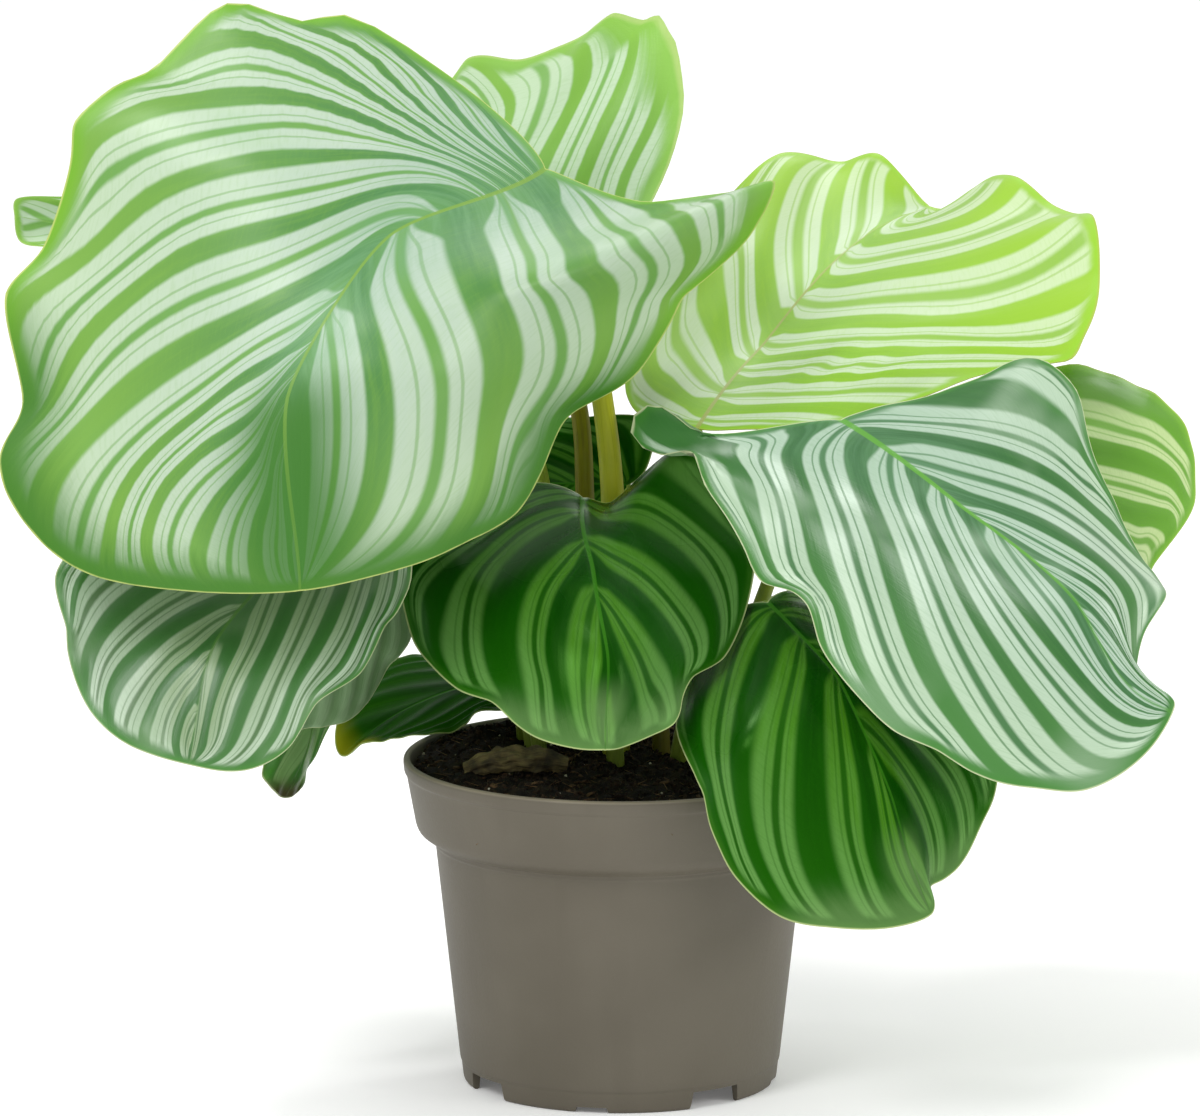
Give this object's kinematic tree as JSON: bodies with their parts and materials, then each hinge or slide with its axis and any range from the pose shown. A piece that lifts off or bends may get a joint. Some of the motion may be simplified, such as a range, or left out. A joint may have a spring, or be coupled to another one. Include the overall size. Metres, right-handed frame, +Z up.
{
  "type": "potted calathea",
  "caption": "Round-leaved potted prayer plant with wide waved leaves, striped pale and dark green, on arching stalks in a plain plastic nursery pot with a banded rim.",
  "frame": {"origin": "middle of the whole plant's outline, on the ground the pot stands on", "axes": "+X to the right as seen from the front, along the plant's longest extent; +Y to the back; +Z up; the front is -Y"},
  "size_m": [0.3845, 0.266, 0.3504],
  "materials": {
    "pot_plastic": "matte",
    "potting_soil": "matte",
    "dry_sheath": "matte",
    "leaf_fresh": "satin",
    "leaf_lime": "satin",
    "leaf_silver": "satin",
    "leaf_dark": "satin",
    "stalk_green": "satin",
    "stalk_olive": "satin"
  },
  "bodies": {
    "root": {"pot": "pot_plastic", "soil": "potting_soil", "dried_sheath": "dry_sheath", "blade_front_left": "leaf_fresh", "petiole_front_left": "stalk_green", "blade_top_back": "leaf_fresh", "petiole_top_back": "stalk_olive", "blade_far_left": "leaf_fresh", "petiole_far_left": "stalk_green", "blade_upper_right": "leaf_lime", "petiole_upper_right": "stalk_olive", "blade_front_right": "leaf_silver", "petiole_front_right": "stalk_green", "blade_front_centre": "leaf_dark", "petiole_front_centre": "stalk_green", "blade_low_right": "leaf_dark", "petiole_low_right": "stalk_green", "blade_low_left": "leaf_silver", "petiole_low_left": "stalk_green", "blade_low_left_inner": "leaf_silver", "petiole_low_left_inner": "stalk_green", "blade_small_drooping": "leaf_silver", "petiole_small_drooping": "stalk_green", "blade_low_side": "leaf_dark", "petiole_low_side": "stalk_green", "blade_far_right": "leaf_lime", "petiole_far_right": "stalk_green", "blade_inner_back": "leaf_dark", "petiole_inner_back": "stalk_green", "blade_back_right": "leaf_silver", "petiole_back_right": "stalk_green", "blade_back_left": "leaf_dark", "petiole_back_left": "stalk_green", "blade_back_low": "leaf_dark", "petiole_back_low": "stalk_green"}
  },
  "joints": []
}
